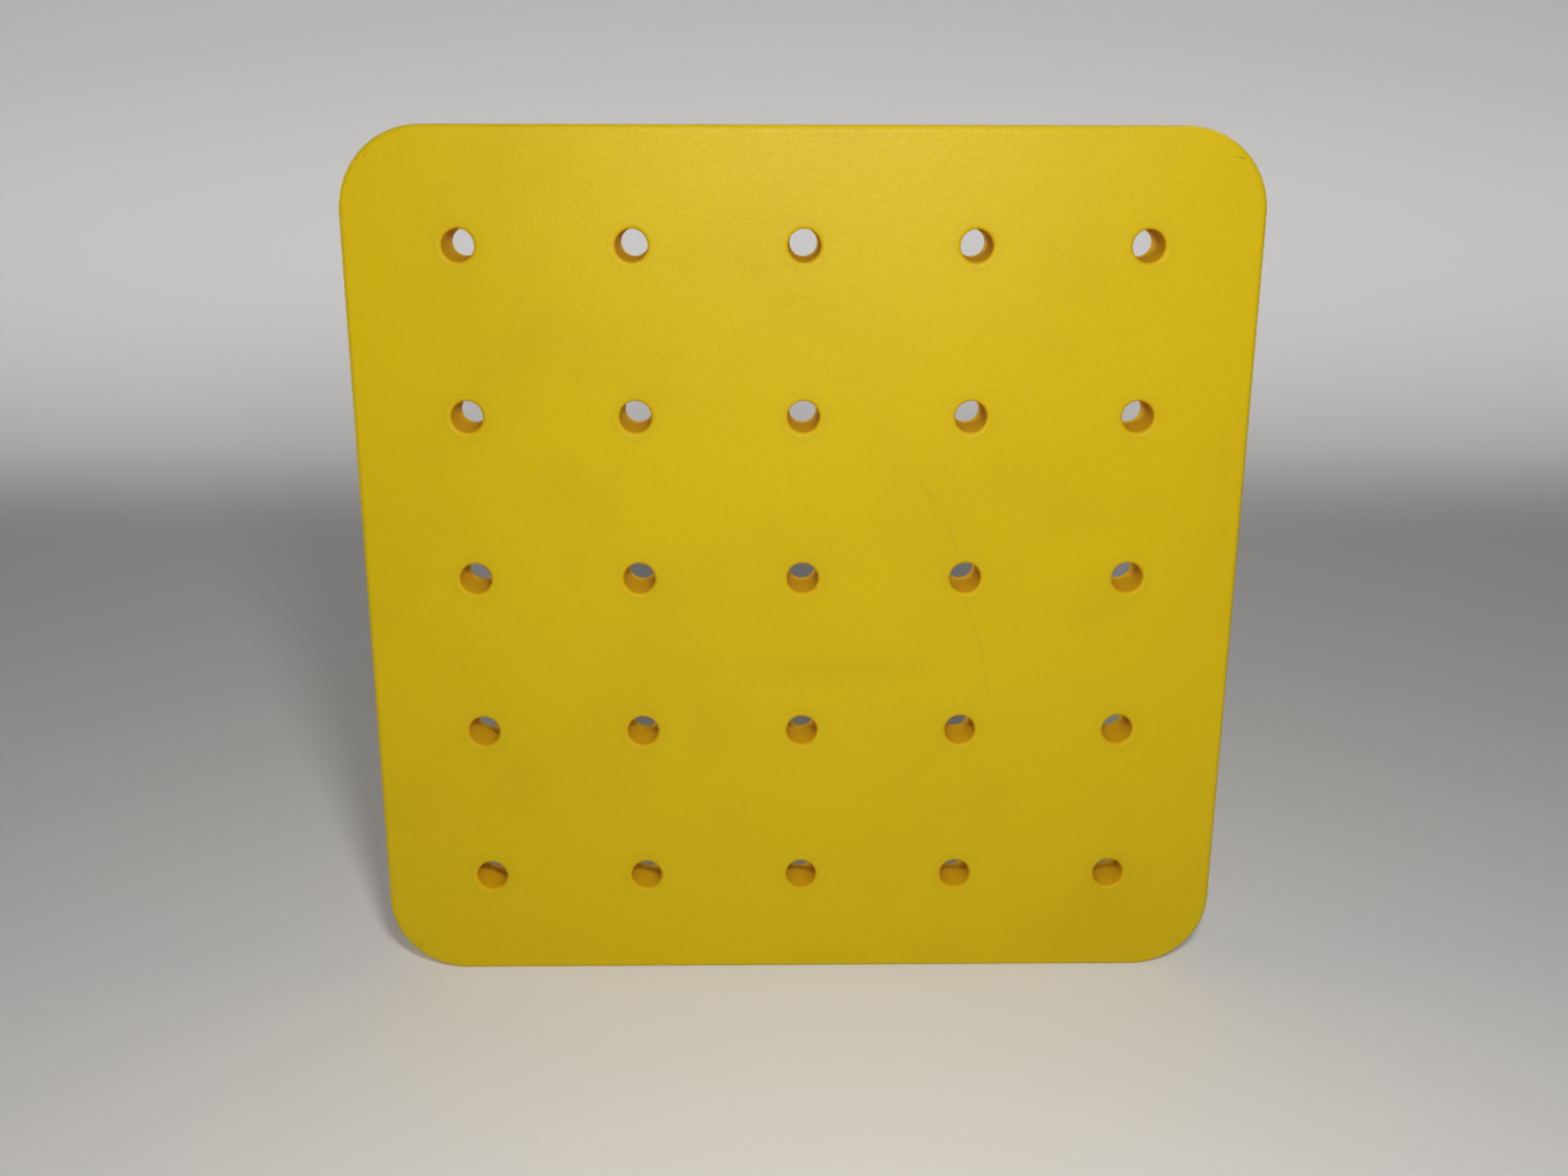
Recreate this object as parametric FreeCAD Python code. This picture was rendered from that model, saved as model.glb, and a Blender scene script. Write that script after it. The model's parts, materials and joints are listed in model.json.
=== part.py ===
import FreeCAD, Part
import math
import os

V = FreeCAD.Vector

# Driving dimensions, in mm. The board stands on its lower edge: X is its width,
# Z its height, and the playing face looks towards -Y.
depth = 15.9               # face to the back of the board, 5/8 in
margin = 34.1              # centres of the outer sockets to the edge
corner_radius = 25.0       # corners of the outline
edge_round = 1.6           # rounding of the front edge
rear_edge_round = 0.6      # rounding of the rim's back edge

pitch = 50.8               # spacing of the sockets both ways, 2 in
sockets_per_side = 5
socket_diameter = 9.6      # bore that takes a 3/8 in peg
socket_lip_round = 1.2     # rounded mouth of each socket
socket_grip_depth = 9.0    # how far from the face the bore stays parallel
socket_narrowing = 1.4     # how much the bore narrows from there to the back
tube_wall = 2.0            # wall of the tube around each socket

face_wall = 2.8            # thickness of the playing face
rim_wall = 4.0             # thickness of the rim above the ledge
rim_lip = 2.2              # thickness of the rim beside the back cover
rib_wall = 1.6             # ribs that join the tubes under the face
rib_height = 4.0           # how far the ribs stand off the face

cover_wall = 2.5           # thickness of the back cover
cover_gap = 0.3            # gap round the cover and round each tube
cover_edge_round = 0.4     # rounding of the cover's outer edge

screw_diameter = 2.9       # shank of a small self-tapping screw
screw_length = 8.0
screw_head_diameter = 5.6
screw_head_height = 1.6
screw_head_sink = 0.2      # head top below the cover's surface
driver_slot_length = 3.0
driver_slot_width = 0.7
driver_slot_depth = 0.8
boss_wall = 2.2            # wall of a screw boss round the shank
pilot_spare = 1.5          # empty hole past the end of the screw
rim_screw_inset = 12.5     # rim screws, in from the outer edge
rim_screw_place = 1.5      # rim screws, in pitches along each edge
inner_screw_place = 0.5    # inner screws, in pitches from the centre

foot_diameter = 12.0
foot_height = 2.4
foot_recess = 0.8          # depth the foot is let into the cover
foot_gap = 0.2             # gap round a foot in its recess
foot_round = 0.6
foot_inset = 16.0          # foot centres, in from both outer edges

side = (sockets_per_side - 1) * pitch + 2 * margin
front = -(depth + foot_height - foot_recess) / 2
back = front + depth
cover_front = back - cover_wall
middle = side / 2
tube_diameter = socket_diameter + 2 * tube_wall


def rounded_block(inset, y_from, y_to):
    """A square block with rounded corners, inset from the board's outline."""
    half = middle - inset
    block = Part.makeBox(2 * half, y_to - y_from, 2 * half, V(-half, y_from, middle - half))
    corners = [e for e in block.Edges if e.BoundBox.YLength > 0.1]
    return block.makeFillet(corner_radius - inset, corners)


def rod(diameter, x, z, y_from, y_to):
    """A round bar along Y."""
    return Part.makeCylinder(diameter / 2, y_to - y_from, V(x, y_from, z), V(0, 1, 0))


def taper(wide, narrow, x, z, y_from, y_to):
    """A cone along Y, from its first diameter to its second."""
    return Part.makeCone(wide / 2, narrow / 2, y_to - y_from, V(x, y_from, z), V(0, 1, 0))


def outline_edges(solid, y):
    """The edges of the board's outer outline in the plane y."""
    reach = middle - corner_radius
    found = []
    for edge in solid.Edges:
        box = edge.BoundBox
        in_plane = abs(box.YMin - y) < 0.01 and abs(box.YMax - y) < 0.01
        furthest = max(abs(box.XMin), abs(box.XMax), abs(box.ZMin - middle), abs(box.ZMax - middle))
        if in_plane and furthest > reach:
            found.append(edge)
    return found


def socket_places():
    """Row and column numbers of each socket with its centre, from the top left."""
    places = []
    last = (sockets_per_side - 1) / 2
    for row in range(sockets_per_side):
        for column in range(sockets_per_side):
            x = (column - last) * pitch
            z = middle + (last - row) * pitch
            places.append((row + 1, column + 1, x, z))
    return places


def screw_places():
    """Centres of the screws: two by each edge and four around the middle."""
    near_edge = middle - rim_screw_inset
    along = rim_screw_place * pitch
    inner = inner_screw_place * pitch
    offsets = []
    for sign in (-1, 1):
        for other in (-1, 1):
            offsets.append((sign * along, other * near_edge))
            offsets.append((other * near_edge, sign * along))
            offsets.append((sign * inner, other * inner))
    return [(x, middle + z) for x, z in sorted(offsets)]


def foot_places():
    """Centres of the four feet."""
    reach = middle - foot_inset
    return [(x * reach, middle + z * reach) for x in (-1, 1) for z in (-1, 1)]


def lip_cutter(x, z):
    """The ring that rounds the mouth of one socket."""
    radius = socket_diameter / 2
    start = V(x + radius, front + socket_lip_round, z)
    outer = V(x + radius + socket_lip_round, front, z)
    turn = math.sqrt(0.5) * socket_lip_round
    half_way = V(x + radius + socket_lip_round - turn, front + socket_lip_round - turn, z)
    arc = Part.Arc(start, half_way, outer).toShape()
    above = V(x + radius + socket_lip_round, front - 1, z)
    axis_above = V(x, front - 1, z)
    axis_below = V(x, front + socket_lip_round, z)
    sides = [
        arc,
        Part.makeLine(outer, above),
        Part.makeLine(above, axis_above),
        Part.makeLine(axis_above, axis_below),
        Part.makeLine(axis_below, start),
    ]
    profile = Part.Face(Part.Wire(sides))
    return profile.revolve(V(x, 0, z), V(0, 1, 0), 360)


def socket_cutter(x, z):
    """The bore of one socket: a rounded mouth, a parallel stretch and a tapered seat."""
    narrow = socket_diameter - socket_narrowing
    seat = front + socket_grip_depth
    bore = rod(socket_diameter, x, z, front - 1, seat)
    seat_cone = taper(socket_diameter, narrow, x, z, seat, back)
    way_out = rod(narrow, x, z, back, back + 1)
    return bore.multiFuse([lip_cutter(x, z), seat_cone, way_out])


def ribs():
    """Bars under the face that join the tubes in both directions."""
    last = (sockets_per_side - 1) / 2
    half = middle - rim_wall
    y_from = front + face_wall
    bars = []
    for number in range(sockets_per_side):
        offset = (number - last) * pitch
        across = V(-half, y_from, middle + offset - rib_wall / 2)
        up = V(offset - rib_wall / 2, y_from, middle - half)
        bars.append(Part.makeBox(2 * half, rib_height, rib_wall, across))
        bars.append(Part.makeBox(rib_wall, rib_height, 2 * half, up))
    return bars


def front_shell():
    """The playing face, the rim and the socket tubes in one moulding."""
    solid = rounded_block(0, front, back)
    solid = solid.makeFillet(edge_round, outline_edges(solid, front))
    solid = solid.makeFillet(rear_edge_round, outline_edges(solid, back))
    solid = solid.cut(rounded_block(rim_wall, front + face_wall, back + 1))
    solid = solid.cut(rounded_block(rim_lip, cover_front, back + 1))
    under_face = front + face_wall / 2
    boss_diameter = screw_diameter + 2 * boss_wall
    tubes = [rod(tube_diameter, x, z, under_face, back) for _, _, x, z in socket_places()]
    bosses = [rod(boss_diameter, x, z, under_face, cover_front) for x, z in screw_places()]
    solid = solid.multiFuse(tubes + bosses + ribs())
    screw_end = back - screw_head_sink - screw_length
    pilots = [rod(screw_diameter, x, z, screw_end - pilot_spare, back) for x, z in screw_places()]
    bores = [socket_cutter(x, z) for _, _, x, z in socket_places()]
    return solid.cut(pilots + bores).removeSplitter()


def back_cover():
    """The plate that closes the back, with an opening for each tube."""
    solid = rounded_block(rim_lip + cover_gap, cover_front, back)
    solid = solid.makeFillet(cover_edge_round, outline_edges(solid, back))
    tube_hole = tube_diameter + 2 * cover_gap
    cuts = [rod(tube_hole, x, z, cover_front - 1, back + 1) for _, _, x, z in socket_places()]
    head_top = back - screw_head_sink
    head_base = head_top - screw_head_height
    for x, z in screw_places():
        cuts.append(rod(screw_diameter, x, z, cover_front - 1, back))
        cuts.append(taper(screw_diameter, screw_head_diameter, x, z, head_base, head_top))
        cuts.append(rod(screw_head_diameter, x, z, head_top, back + 1))
    recess = foot_diameter + 2 * foot_gap
    for x, z in foot_places():
        cuts.append(rod(recess, x, z, back - foot_recess, back + 1))
    return solid.cut(cuts).removeSplitter()


def screw(x, z):
    """A countersunk self-tapping screw with a cross recess, head towards +Y."""
    head_top = back - screw_head_sink
    head_base = head_top - screw_head_height
    point = screw_diameter
    shank_end = head_top - screw_length + point
    head = taper(screw_diameter, screw_head_diameter, x, z, head_base, head_top)
    shank = rod(screw_diameter, x, z, shank_end, head_base)
    tip = taper(screw_diameter / 4, screw_diameter, x, z, shank_end - point, shank_end)
    solid = head.multiFuse([shank, tip])
    y = head_top - driver_slot_depth
    long = driver_slot_length
    wide = driver_slot_width
    across = Part.makeBox(long, 2, wide, V(x - long / 2, y, z - wide / 2))
    up = Part.makeBox(wide, 2, long, V(x - wide / 2, y, z - long / 2))
    return solid.cut([across, up]).removeSplitter()


def foot(x, z):
    """A round rubber pad let into the back cover."""
    base = back - foot_recess
    solid = rod(foot_diameter, x, z, base, base + foot_height)
    rim = [e for e in solid.Edges if e.BoundBox.YMin > base + foot_height - 0.01]
    return solid.makeFillet(foot_round, rim)


os.makedirs("parts", exist_ok=True)
front_shell().exportStep("parts/front_shell.step")
back_cover().exportStep("parts/back_cover.step")
for number, (x, z) in enumerate(screw_places(), 1):
    screw(x, z).exportStep(f"parts/screw_{number:02d}.step")
for name, (x, z) in zip(("left_low", "left_high", "right_low", "right_high"), foot_places()):
    foot(x, z).exportStep(f"parts/foot_{name}.step")
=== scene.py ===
import json
import math
import random

import bmesh
import bpy
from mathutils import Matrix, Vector


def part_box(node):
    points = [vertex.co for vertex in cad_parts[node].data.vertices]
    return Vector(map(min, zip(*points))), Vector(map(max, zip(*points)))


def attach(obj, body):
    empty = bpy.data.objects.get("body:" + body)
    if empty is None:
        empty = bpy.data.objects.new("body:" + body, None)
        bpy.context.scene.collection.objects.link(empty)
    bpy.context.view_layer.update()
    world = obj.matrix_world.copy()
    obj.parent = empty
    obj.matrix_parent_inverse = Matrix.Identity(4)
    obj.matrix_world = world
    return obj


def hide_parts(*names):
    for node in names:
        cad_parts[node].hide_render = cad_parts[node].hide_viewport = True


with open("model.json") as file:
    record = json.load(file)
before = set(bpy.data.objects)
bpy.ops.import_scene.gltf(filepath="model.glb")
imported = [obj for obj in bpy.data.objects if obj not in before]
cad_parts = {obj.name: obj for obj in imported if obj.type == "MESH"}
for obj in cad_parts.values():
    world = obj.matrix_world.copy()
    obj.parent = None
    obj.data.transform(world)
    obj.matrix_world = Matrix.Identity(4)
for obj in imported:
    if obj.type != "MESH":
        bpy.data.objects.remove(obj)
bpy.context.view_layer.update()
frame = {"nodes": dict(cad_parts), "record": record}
record = frame["record"]
print("frame loaded:", len(frame["nodes"]), "nodes")

# places read from the frame, in metres
shellLow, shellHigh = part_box("front_shell")
coverLow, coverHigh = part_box("back_cover")
footLow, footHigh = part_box("foot_left_low")
screwNames = sorted(name for name in frame["nodes"] if name.startswith("screw_"))
footNames = sorted(name for name in frame["nodes"] if name.startswith("foot_"))
sockets = [m for m in record["mounts"] if m["name"].startswith("socket_")]
socketXs = sorted({m["pos_m"][0] for m in sockets})
socketZs = sorted({m["pos_m"][2] for m in sockets})
pitch = socketXs[1] - socketXs[0]
middle = Vector((0, (shellLow.y + shellHigh.y) / 2, (shellLow.z + shellHigh.z) / 2))
boreRadius = sockets[0]["dims"]["r_mm"] / 1000
boreLength = sockets[0]["dims"]["length_mm"] / 1000
quarterTurn = math.radians(90)
touchGap = 0.00002     # points this near count as the same place
arcGap = 0.0001        # the same for points on an arc
mergeGap = 0.000005    # doubles this near are merged
facing = 0.9           # a normal's least share along an axis to face that way


def nodeCentre(name):
    low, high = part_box(name)
    return (low + high) / 2


# small modelling helpers

def deselectAll():
    bpy.ops.object.select_all(action="DESELECT")


def makeActive(piece):
    deselectAll()
    piece.select_set(True)
    bpy.context.view_layer.objects.active = piece


def nameNew(name):
    piece = bpy.context.object
    piece.name = name
    piece.data.name = name
    bpy.ops.object.transform_apply(location=True, rotation=True, scale=True)
    return piece


def editOn(piece, kind="EDGE"):
    makeActive(piece)
    bpy.ops.object.mode_set(mode="EDIT")
    bpy.ops.mesh.select_mode(type=kind)


def editOff():
    bpy.ops.object.mode_set(mode="OBJECT")


def selectEdges(piece, test, longerThan=0.0):
    bpy.ops.mesh.select_all(action="DESELECT")
    mesh = bmesh.from_edit_mesh(piece.data)
    for edge in mesh.edges:
        if all(test(v.co) for v in edge.verts) and edge.calc_length() > longerThan:
            edge.select_set(True)
    bmesh.update_edit_mesh(piece.data)


def selectFaces(piece, test):
    bpy.ops.mesh.select_all(action="DESELECT")
    mesh = bmesh.from_edit_mesh(piece.data)
    for face in mesh.faces:
        if test(face.calc_center_median(), face.normal):
            face.select_set(True)
    bmesh.update_edit_mesh(piece.data)


def near(a, b, gap=touchGap):
    return abs(a - b) < gap


def nearCircle(point, centre, radius, gap=touchGap):
    # true for a point on a circle round centre, seen along Y
    return near(math.hypot(point.x - centre[0], point.z - centre[2]), radius, gap)


def applyModifier(piece, kind, **settings):
    makeActive(piece)
    modifier = piece.modifiers.new(kind.lower(), kind)
    for key, value in settings.items():
        setattr(modifier, key, value)
    bpy.ops.object.modifier_apply(modifier=modifier.name)


def roundEdges(size, steps):
    bpy.ops.mesh.bevel(offset=size, segments=steps, profile=0.5, affect="EDGES")


def finishSurface(piece, angle=40, weight=50):
    # faces outwards, soft shading with crisp corners
    editOn(piece, "FACE")
    bpy.ops.mesh.select_all(action="SELECT")
    bpy.ops.mesh.remove_doubles(threshold=mergeGap)
    bpy.ops.mesh.normals_make_consistent(inside=False)
    editOff()
    makeActive(piece)
    bpy.ops.object.shade_smooth_by_angle(angle=math.radians(angle))
    applyModifier(piece, "WEIGHTED_NORMAL", keep_sharp=True, weight=weight)


def copyTo(piece, name, offset, turn=0.0):
    # a full copy with its own mesh, turned about its own axis along Y and moved
    makeActive(piece)
    bpy.ops.object.duplicate(linked=False)
    twin = bpy.context.object
    twin.name = name
    twin.data.name = name
    if turn:
        bpy.ops.transform.rotate(value=turn, orient_axis="Y", center_override=tuple(pieceCentre(piece)))
    bpy.ops.transform.translate(value=tuple(offset))
    bpy.ops.object.transform_apply(location=True, rotation=True, scale=True)
    return twin


def pieceCentre(piece):
    corners = [Vector(c) for c in piece.bound_box]
    return sum(corners, Vector()) / 8


# front shell: face, rim and socket tubes

shellValues = {
    "cornerRadius": 0.025,
    "frontRound": 0.0016,
    "rearRound": 0.0006,
    "faceWall": 0.0028,
    "rimWall": 0.0040,
    "rimLip": 0.0022,
    "tubeWall": 0.0020,
    "lipRound": 0.0012,
    "seatNarrowing": 0.0007,      # the bore's radius shrinks by this towards the back
    "tubeEndRound": 0.0003,
    "witnessRadius": 0.0075,      # faint ring pressed in round each socket by the pegs
    "witnessHalfWidth": 0.0005,
    "witnessDepth": 0.00002,
    "mouthMargin": 0.0003,        # flat left round the rounded mouth
    "witnessMargin": 0.0015,      # flat left round the pressed ring
    "faceMargin": 0.0006,         # flat left inside the rounded front edge
    "circleSteps": 64,
    "cornerSteps": 20,
    "lipSteps": 7,
    "frontSteps": 6,
    "rearSteps": 3,
    "smallSteps": 2,
    "tileMergeGap": 0.00001,
    "joinLift": 0.01,
}


def outlineLoop(piece, inset, y, sideSteps):
    # a rounded square loop of edges, inset from the outline, in the plane y
    half = shellHigh.x - inset
    radius = shellValues["cornerRadius"] - inset
    bpy.ops.mesh.primitive_plane_add(size=2 * half, location=(0, y, middle.z), rotation=(quarterTurn, 0, 0))
    bpy.ops.mesh.bevel(offset=radius, segments=shellValues["cornerSteps"], profile=0.5, affect="VERTICES")
    bpy.ops.mesh.delete(type="ONLY_FACE")
    selectEdges(piece, lambda p: onOutline(p, inset, y), longerThan=half)
    bpy.ops.mesh.subdivide(number_cuts=sideSteps - 1)


def onOutline(point, inset, y):
    # true for a point on the rounded square of that inset
    half = shellHigh.x - inset
    radius = shellValues["cornerRadius"] - inset
    if not near(point.y, y):
        return False
    dx = max(abs(point.x) - (half - radius), 0)
    dz = max(abs(point.z - middle.z) - (half - radius), 0)
    if dx and dz:
        return near(math.hypot(dx, dz), radius, arcGap)
    return near(max(dx, dz), radius)


def bridgeLoops(piece, onFirst, onSecond):
    # the first loop is lifted for a moment, because two loops in one plane can join crosswise
    lift = Vector((0, shellValues["joinLift"], 0))

    def onLifted(point):
        return onFirst(point - lift)

    selectEdges(piece, onFirst)
    bpy.ops.transform.translate(value=lift)
    selectEdges(piece, lambda p: onLifted(p) or onSecond(p))
    bpy.ops.mesh.bridge_edge_loops()
    selectEdges(piece, onLifted)
    bpy.ops.transform.translate(value=-lift)


def makeSocketTile(values):
    bore = boreRadius
    seat = sockets[0]["pos_m"][1] + boreLength / 2
    narrow = bore - values["seatNarrowing"]
    tube = bore + values["tubeWall"]
    x, z = socketXs[0], socketZs[0]
    front, back = shellLow.y, shellHigh.y
    inner = front + values["faceWall"]
    centre = (x, 0, z)

    def atRing(point, radius, y):
        return near(point.y, y) and nearCircle(point, centre, radius)

    def atSquare(point, y):
        reach = max(abs(point.x - x), abs(point.z - z))
        return near(point.y, y) and near(reach, pitch / 2)

    def squareLoop(y):
        bpy.ops.mesh.primitive_plane_add(size=pitch, location=(x, y, z), rotation=(quarterTurn, 0, 0))
        bpy.ops.mesh.delete(type="ONLY_FACE")
        selectEdges(piece, lambda p: atSquare(p, y))
        bpy.ops.mesh.subdivide(number_cuts=values["circleSteps"] // 4 - 1)

    def growRing(radiusFrom, radiusTo):
        ratio = radiusTo / radiusFrom
        bpy.ops.mesh.extrude_region_move()
        bpy.ops.transform.resize(value=(ratio, 1, ratio), center_override=centre)

    deselectAll()
    bpy.ops.mesh.primitive_circle_add(vertices=values["circleSteps"], radius=bore, location=(x, front, z),
                                      rotation=(quarterTurn, 0, 0))
    piece = nameNew("boardShell")
    editOn(piece)
    bpy.ops.mesh.select_all(action="SELECT")

    # rings on the playing face, with the pressed ring between two of them
    mouth = bore + values["lipRound"]
    witness = values["witnessRadius"]
    halfWidth = values["witnessHalfWidth"]
    radius = bore
    for ring in (mouth + values["mouthMargin"], witness - halfWidth, witness, witness + halfWidth,
                 witness + values["witnessMargin"]):
        growRing(radius, ring)
        radius = ring
    squareLoop(front)
    bridgeLoops(piece, lambda p: atRing(p, radius, front), lambda p: atSquare(p, front))
    selectEdges(piece, lambda p: atRing(p, witness, front))
    bpy.ops.transform.translate(value=(0, values["witnessDepth"], 0))

    # parallel bore, tapered seat, round the tube's end and back up to the inside of the face
    selectEdges(piece, lambda p: atRing(p, bore, front))
    bpy.ops.mesh.extrude_region_move(TRANSFORM_OT_translate={"value": (0, seat - front, 0)})
    growRing(bore, narrow)
    bpy.ops.transform.translate(value=(0, back - seat, 0))
    growRing(narrow, tube)
    bpy.ops.mesh.extrude_region_move(TRANSFORM_OT_translate={"value": (0, inner - back, 0)})
    squareLoop(inner)
    bridgeLoops(piece, lambda p: atRing(p, tube, inner), lambda p: atSquare(p, inner))

    # rounded mouth and softened tube end
    selectEdges(piece, lambda p: atRing(p, bore, front))
    roundEdges(values["lipRound"], values["lipSteps"])
    for radius in (narrow, tube):
        selectEdges(piece, lambda p: atRing(p, radius, back))
        roundEdges(values["tubeEndRound"], values["smallSteps"])
    editOff()
    return piece


def makeBoardShell(values):
    piece = makeSocketTile(values)
    count = len(socketXs)
    for direction in ((pitch, 0, 0), (0, 0, pitch)):
        applyModifier(piece, "ARRAY", count=count, use_relative_offset=False, use_constant_offset=True,
                      constant_offset_displace=direction, use_merge_vertices=True,
                      merge_threshold=values["tileMergeGap"])

    front, back = shellLow.y, shellHigh.y
    inner = front + values["faceWall"]
    gridHalf = count * pitch / 2
    perSide = count * values["circleSteps"] // 4
    sideSteps = perSide - values["cornerSteps"]
    pocket = coverLow.y

    def atGrid(point, y):
        reach = max(abs(point.x), abs(point.z - middle.z))
        return near(point.y, y) and near(reach, gridHalf)

    # the rim's section, from the playing face round to the inside of the face
    section = [
        (values["frontRound"] + values["faceMargin"], front),
        (0.0, front),
        (0.0, back),
        (values["rimLip"], back),
        (values["rimLip"], pocket),
        (values["rimWall"], pocket),
        (values["rimWall"], inner),
    ]
    editOn(piece)
    for inset, y in section:
        outlineLoop(piece, inset, y, sideSteps)
    firstInset, lastInset = section[0][0], section[-1][0]
    bridgeLoops(piece, lambda p: atGrid(p, front), lambda p: onOutline(p, firstInset, front))
    for (insetA, yA), (insetB, yB) in zip(section, section[1:]):
        bridgeLoops(piece, lambda p: onOutline(p, insetA, yA), lambda p: onOutline(p, insetB, yB))
    bridgeLoops(piece, lambda p: atGrid(p, inner), lambda p: onOutline(p, lastInset, inner))

    # soft front edge, small rounds at the back
    selectEdges(piece, lambda p: onOutline(p, 0, front))
    roundEdges(values["frontRound"], values["frontSteps"])
    selectEdges(piece, lambda p: onOutline(p, 0, back))
    roundEdges(values["rearRound"], values["rearSteps"])
    selectEdges(piece, lambda p: onOutline(p, values["rimLip"], back))
    roundEdges(values["rearRound"] / 2, values["smallSteps"])
    editOff()
    finishSurface(piece)
    return piece


boardShell = makeBoardShell(shellValues)
print("board shell:", len(boardShell.data.polygons), "faces")


# back cover, with its openings, countersinks and foot recesses

coverValues = {
    "cornerRadius": 0.0225,
    "cornerSteps": 16,
    "tubeGap": 0.0003,
    "shankRadius": 0.00145,
    "headRadius": 0.0028,
    "headHeight": 0.0016,
    "headSink": 0.0002,
    "footGap": 0.0002,
    "edgeRound": 0.0003,
    "edgeSteps": 2,
    "edgeAngle": 50,       # edges sharper than this are rounded
    "cutReach": 0.001,     # how far a cutter passes the surface
    "roundSides": 64,      # holes for tubes and feet
    "screwSides": 32,
}


def makeTurned(name, centre, steps, sides):
    # a round solid along Y through the (radius, y) steps
    firstRadius, firstY = steps[0]
    deselectAll()
    bpy.ops.mesh.primitive_circle_add(vertices=sides, radius=firstRadius, fill_type="NGON",
                                      location=(centre.x, firstY, centre.z), rotation=(quarterTurn, 0, 0))
    turned = nameNew(name)
    editOn(turned, "FACE")
    bpy.ops.mesh.select_all(action="SELECT")
    radius, y = firstRadius, firstY
    for newRadius, newY in steps[1:]:
        bpy.ops.mesh.extrude_region_move(TRANSFORM_OT_translate={"value": (0, newY - y, 0)})
        ratio = newRadius / radius
        bpy.ops.transform.resize(value=(ratio, 1, ratio), center_override=(centre.x, newY, centre.z))
        radius, y = newRadius, newY
    bpy.ops.mesh.select_all(action="SELECT")
    bpy.ops.mesh.normals_make_consistent(inside=False)
    editOff()
    return turned


def makeBackCover(values):
    back, front = coverHigh.y, coverLow.y
    before, beyond = front - values["cutReach"], back + values["cutReach"]
    tubeHole = boreRadius + shellValues["tubeWall"] + values["tubeGap"]
    headTop = back - values["headSink"]
    footHole = (footHigh.x - footLow.x) / 2 + values["footGap"]

    deselectAll()
    bpy.ops.mesh.primitive_plane_add(size=coverHigh.x - coverLow.x, location=(0, back, middle.z),
                                     rotation=(-quarterTurn, 0, 0))
    cover = nameNew("backCover")
    editOn(cover, "VERT")
    bpy.ops.mesh.select_all(action="SELECT")
    bpy.ops.mesh.bevel(offset=values["cornerRadius"], segments=values["cornerSteps"], profile=0.5,
                       affect="VERTICES")
    bpy.ops.mesh.select_mode(type="FACE")
    bpy.ops.mesh.select_all(action="SELECT")
    bpy.ops.mesh.extrude_region_move(TRANSFORM_OT_translate={"value": (0, front - back, 0)})
    bpy.ops.mesh.select_all(action="SELECT")
    bpy.ops.mesh.normals_make_consistent(inside=False)
    editOff()

    cutters = []
    for socket in sockets:
        steps = [(tubeHole, before), (tubeHole, beyond)]
        cutters.append(makeTurned("tubeHole", Vector(socket["pos_m"]), steps, values["roundSides"]))
    for name in screwNames:
        steps = [
            (values["shankRadius"], before),
            (values["shankRadius"], headTop - values["headHeight"]),
            (values["headRadius"], headTop),
            (values["headRadius"], beyond),
        ]
        cutters.append(makeTurned("screwHole", nodeCentre(name), steps, values["screwSides"]))
    for name in footNames:
        steps = [(footHole, footLow.y), (footHole, beyond)]
        cutters.append(makeTurned("footHole", nodeCentre(name), steps, values["roundSides"]))
    deselectAll()
    for cutter in cutters:
        cutter.select_set(True)
    bpy.context.view_layer.objects.active = cutters[0]
    bpy.ops.object.join()
    joined = bpy.context.object
    applyModifier(cover, "BOOLEAN", operation="DIFFERENCE", object=joined, solver="EXACT")
    bpy.data.objects.remove(joined)
    applyModifier(cover, "BEVEL", width=values["edgeRound"], segments=values["edgeSteps"],
                  limit_method="ANGLE", angle_limit=math.radians(values["edgeAngle"]), use_clamp_overlap=True)
    finishSurface(cover)
    return cover


backCover = makeBackCover(coverValues)
print("back cover:", len(backCover.data.polygons), "faces")


# screws, modelled once and copied

screwValues = {
    "headRadius": 0.0028,
    "headHeight": 0.0016,
    "shankRadius": 0.00145,
    "tipLength": 0.0029,
    "threadRise": 0.00012,
    "threadCount": 5,
    "slotLength": 0.0032,
    "slotWidth": 0.0007,
    "slotDepth": 0.0009,
    "slotTaper": (0.55, 0.70),    # the recess's bottom, along and across, as a share of its top
    "rimDrop": 0.0001,            # narrow slope round the head's flat
    "rimShrink": 0.985,
    "pointShare": 0.25,           # width of the point as a share of the shank
    "edgeRound": 0.00008,
    "edgeSteps": 2,
    "edgeAngle": 50,
    "shadeAngle": 35,
    "sides": 32,
    "turnSeed": 7,
}


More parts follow.
